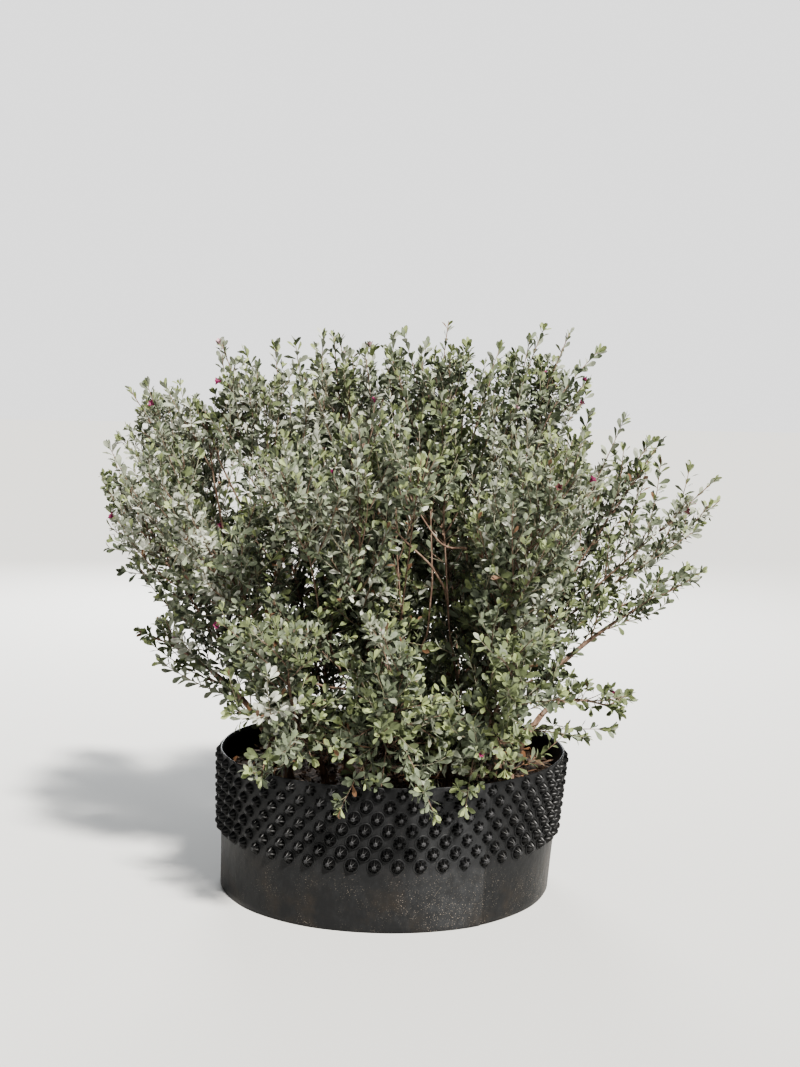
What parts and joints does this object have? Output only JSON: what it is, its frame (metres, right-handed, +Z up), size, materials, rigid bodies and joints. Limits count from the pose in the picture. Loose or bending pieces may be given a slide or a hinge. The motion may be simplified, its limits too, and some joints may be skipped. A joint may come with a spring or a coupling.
{
  "type": "potted texas sage shrub",
  "caption": "Silvery-leaved evergreen shrub with many thin stems and a wide open crown, growing in a low round black studded air-pruning pot.",
  "frame": {"origin": "middle of the pot's flat underside", "axes": "+Z up; the pictured front faces -Y; +X to the viewer's right"},
  "size_m": [1.107, 0.8943, 1.006],
  "materials": {
    "pot_plastic": "black moulded plastic sheet with a dull sheen, dust on its lower edge",
    "potting_mix": "dark crumbly potting mix with dry leaf litter",
    "bark": "thin reddish-brown bark, paler on young twigs",
    "foliage": "small felted silvery grey-green leaves"
  },
  "bodies": {
    "root": {"pot": "pot_plastic", "potting_mix": "potting_mix", "stem_left": "bark", "bough_left_outer": "bark", "bough_back_left": "bark", "stem_mid_left": "bark", "bough_left_top": "bark", "bough_left_front": "bark", "stem_front_left": "bark", "bough_front_left": "bark", "bough_upper_left": "bark", "stem_centre": "bark", "bough_front_centre": "bark", "bough_top_left": "bark", "stem_front_right": "bark", "bough_front_right": "bark", "bough_top_centre": "bark", "stem_right": "bark", "bough_right_upper": "bark", "bough_right_mid": "bark", "bough_right_far": "bark", "stem_back": "bark", "bough_back_middle": "bark", "bough_back_top": "bark", "stem_back_right": "bark", "bough_back_outer": "bark", "bough_top_right": "bark", "stem_left_low": "bark", "stem_left_sprig": "bark", "stem_skirt_left": "bark", "stem_skirt_middle": "bark", "stem_skirt_right": "bark", "stem_right_low": "bark", "stem_right_sprig": "bark", "stem_back_low": "bark", "foliage_left_outer": "foliage", "foliage_back_left": "foliage", "foliage_left_top": "foliage", "foliage_left_front": "foliage", "foliage_front_left": "foliage", "foliage_upper_left": "foliage", "foliage_front_centre": "foliage", "foliage_top_left": "foliage", "foliage_front_right": "foliage", "foliage_top_centre": "foliage", "foliage_right_upper": "foliage", "foliage_right_mid": "foliage", "foliage_right_far": "foliage", "foliage_back_middle": "foliage", "foliage_back_top": "foliage", "foliage_back_outer": "foliage", "foliage_top_right": "foliage", "foliage_left_low": "foliage", "foliage_left_sprig": "foliage", "foliage_skirt_left": "foliage", "foliage_skirt_middle": "foliage", "foliage_skirt_right": "foliage", "foliage_right_low": "foliage", "foliage_right_sprig": "foliage", "foliage_back_low": "foliage"}
  },
  "joints": []
}
